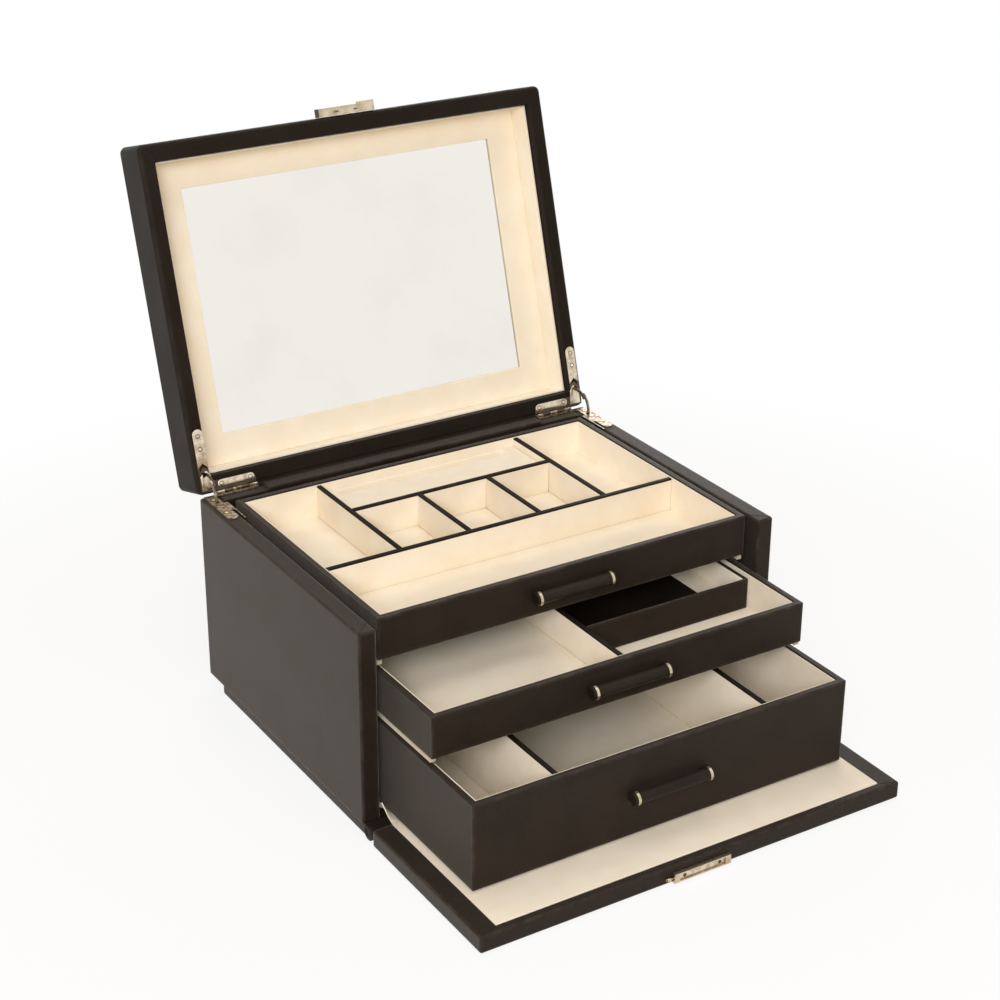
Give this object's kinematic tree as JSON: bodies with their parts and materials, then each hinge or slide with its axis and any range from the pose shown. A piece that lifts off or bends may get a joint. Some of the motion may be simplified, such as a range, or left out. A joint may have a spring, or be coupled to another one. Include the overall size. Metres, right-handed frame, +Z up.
{
  "type": "tiered jewelry box",
  "caption": "Leather-covered jewelry box with a mirrored lift-up lid, a fold-down front door and stacked drawers lined in suede.",
  "frame": {"origin": "middle of the base plate's underside, on the table", "axes": "+X to the box's right as seen from the front, +Y to its back, +Z up"},
  "size_m": [0.3012, 0.4492, 0.3613],
  "materials": {
    "leather": "dark brown grained leather over board, satin",
    "inner_leather": "dark smooth leather paper over board, matt",
    "suede": "cream suede cloth, matt, short pile",
    "felt": "pale felt strip, matt",
    "gold": "polished champagne gold plating",
    "steel": "polished warm nickel plating",
    "mirror": "silvered glass"
  },
  "bodies": {
    "case": {"back_wall": "leather", "base_plate": "leather", "case_floor": "inner_leather", "door_hinge_cloth": "suede", "door_hinge_spine": "leather", "hinge_case_leaf_left": "steel", "hinge_case_leaf_right": "steel", "hinge_pin_left": "steel", "hinge_pin_right": "steel", "shelf_lower": "inner_leather", "shelf_upper": "inner_leather", "side_wall_left": "leather", "side_wall_right": "leather"},
    "lid": {"hinge_lid_leaf_left": "steel", "hinge_lid_leaf_right": "steel", "lid_catch": "gold", "lid_lining": "suede", "lid_shell": "leather", "mirror": "mirror", "mirror_frame": "suede"},
    "door": {"door_panel": "leather", "door_lining": "suede", "door_catch": "gold"},
    "door_button": {"door_catch_button": "gold"},
    "bottom_drawer": {"divider_bottom_left": "inner_leather", "divider_bottom_right": "inner_leather", "drawer_bottom_band_left": "gold", "drawer_bottom_band_right": "gold", "drawer_bottom_box": "leather", "drawer_bottom_glide_left": "felt", "drawer_bottom_glide_right": "felt", "drawer_bottom_handle": "leather", "drawer_bottom_lining": "suede"},
    "middle_drawer": {"divider_middle": "inner_leather", "drawer_middle_band_left": "gold", "drawer_middle_band_right": "gold", "drawer_middle_box": "leather", "drawer_middle_glide_left": "felt", "drawer_middle_glide_right": "felt", "drawer_middle_handle": "leather", "drawer_middle_lining": "suede"},
    "lift_out_tray": {"lift_tray": "inner_leather", "lift_tray_lining": "suede"},
    "top_drawer": {"divider_top_front": "inner_leather", "divider_top_long_left": "inner_leather", "divider_top_long_right": "inner_leather", "divider_top_rear": "inner_leather", "divider_top_small_left": "inner_leather", "divider_top_small_right": "inner_leather", "drawer_top_band_left": "gold", "drawer_top_band_right": "gold", "drawer_top_box": "leather", "drawer_top_glide_left": "felt", "drawer_top_glide_right": "felt", "drawer_top_handle": "leather", "drawer_top_lining": "suede", "top_rear_pad": "suede"}
  },
  "joints": [
    {"name": "lid_hinge", "type": "hinge", "parent": "case", "child": "lid", "pos_m": [0, 0.11605, 0.1378], "axis": [1, 0, 0], "range_deg": [0, 106.3]},
    {"name": "door_hinge", "type": "hinge", "parent": "case", "child": "door", "pos_m": [0, -0.10425, 0.0063], "axis": [-1, 0, 0], "range_deg": [0, 0.5]},
    {"name": "door_catch_button_slide", "type": "slide", "parent": "door", "child": "door_button", "axis": [1, 0, 0], "range_m": [0, 0.0019], "stiffness_N_per_m": 200},
    {"name": "drawer_bottom_slide", "type": "slide", "parent": "case", "child": "bottom_drawer", "axis": [0, 1, 0], "range_m": [-0.0173, 0.1127]},
    {"name": "drawer_middle_slide", "type": "slide", "parent": "case", "child": "middle_drawer", "axis": [0, 1, 0], "range_m": [-0.0617, 0.0683]},
    {"name": "drawer_top_slide", "type": "slide", "parent": "case", "child": "top_drawer", "axis": [0, 1, 0], "range_m": [-0.123, 0.007]},
    {"name": "lift_tray_slide", "type": "slide", "parent": "middle_drawer", "child": "lift_out_tray", "axis": [0, 1, 0], "range_m": [-0.042, 0]}
  ]
}
